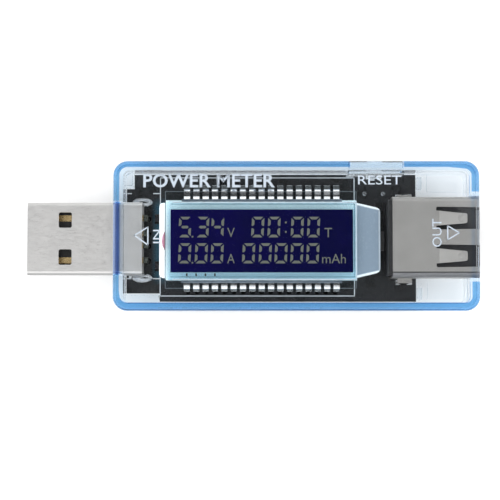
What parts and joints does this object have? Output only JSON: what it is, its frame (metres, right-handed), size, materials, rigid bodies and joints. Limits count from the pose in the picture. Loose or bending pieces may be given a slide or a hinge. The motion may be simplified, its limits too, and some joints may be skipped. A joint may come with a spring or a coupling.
{
  "type": "usb power meter",
  "caption": "Pocket inline USB power meter: clear two-part case, plug at one end, socket at the other, backlit pinned liquid crystal display, and a sprung reset key in the side.",
  "frame": {"origin": "centre of the case's flat back, the face the meter lies on", "axes": "+X out of the socket's mouth, -X out of the plug's tip, +Y out of the side wall with the reset key, +Z out of the display towards the reader"},
  "size_m": [0.0743, 0.0249, 0.012],
  "materials": {
    "case_plastic": "clear, tinted pale blue, polished",
    "key_plastic": "milky translucent",
    "board": "black solder mask with white print",
    "plug_steel": "nickel plated, fine drawn grain",
    "socket_steel": "nickel plated, matte",
    "connector_plastic": "moulded black nylon",
    "contact_gold": "gold plated",
    "lcd_glass": "clear, ground edges",
    "polariser": "dark indigo film",
    "fill_seal": "cured adhesive",
    "tinned_pins": "bright tin plate",
    "light_guide": "clear acrylic",
    "reflector": "white film",
    "lamp": "moulded white with a phosphor window",
    "switch_plastic": "moulded black nylon",
    "switch_metal": "stamped, bright",
    "chip_resin": "moulded black resin",
    "resistor": "glazed black with tinned ends",
    "capacitor": "fired tan with tinned ends",
    "crystal_can": "pressed metal can"
  },
  "bodies": {
    "meter": {"front_cover": "case_plastic", "back_cover": "case_plastic", "main_board": "board", "plug_shell": "plug_steel", "socket_shell": "socket_steel", "plug_insulator": "connector_plastic", "socket_insulator": "connector_plastic", "plug_contact_power": "contact_gold", "plug_contact_data_minus": "contact_gold", "plug_contact_data_plus": "contact_gold", "plug_contact_ground": "contact_gold", "socket_contact_power": "contact_gold", "socket_contact_data_minus": "contact_gold", "socket_contact_data_plus": "contact_gold", "socket_contact_ground": "contact_gold", "lcd_front_glass": "lcd_glass", "lcd_rear_glass": "lcd_glass", "lcd_front_polariser": "polariser", "lcd_rear_polariser": "polariser", "lcd_fill_seal": "fill_seal", "lcd_pins_key_side": "tinned_pins", "lcd_pins_far_side": "tinned_pins", "switch_terminal_left": "tinned_pins", "switch_terminal_right": "tinned_pins", "backlight_guide": "light_guide", "backlight_reflector": "reflector", "backlight_lamp": "lamp", "switch_base": "switch_plastic", "switch_frame": "switch_metal", "switch_dome": "switch_metal", "controller_chip": "chip_resin", "memory_chip": "chip_resin", "regulator": "chip_resin", "current_shunt": "resistor", "lamp_resistor": "resistor", "divider_resistor_high": "resistor", "divider_resistor_low": "resistor", "sense_resistor": "resistor", "data_resistor_high": "resistor", "data_resistor_low": "resistor", "input_capacitor": "capacitor", "output_capacitor": "capacitor", "regulator_capacitor": "capacitor", "crystal": "crystal_can"},
    "key": {"reset_key": "key_plastic"},
    "stem": {"switch_stem": "switch_plastic"}
  },
  "joints": [
    {"name": "reset_press", "type": "slide", "parent": "meter", "child": "key", "axis": [0, -1, 0], "range_m": [0, 0.00025], "stiffness_N_per_m": 800},
    {"name": "stem_press", "type": "slide", "parent": "meter", "child": "stem", "axis": [0, -1, 0], "range_m": [0, 0.00025]}
  ],
  "couplings": [
    {"joint": "stem_press", "follows": "reset_press", "ratio": 1}
  ]
}
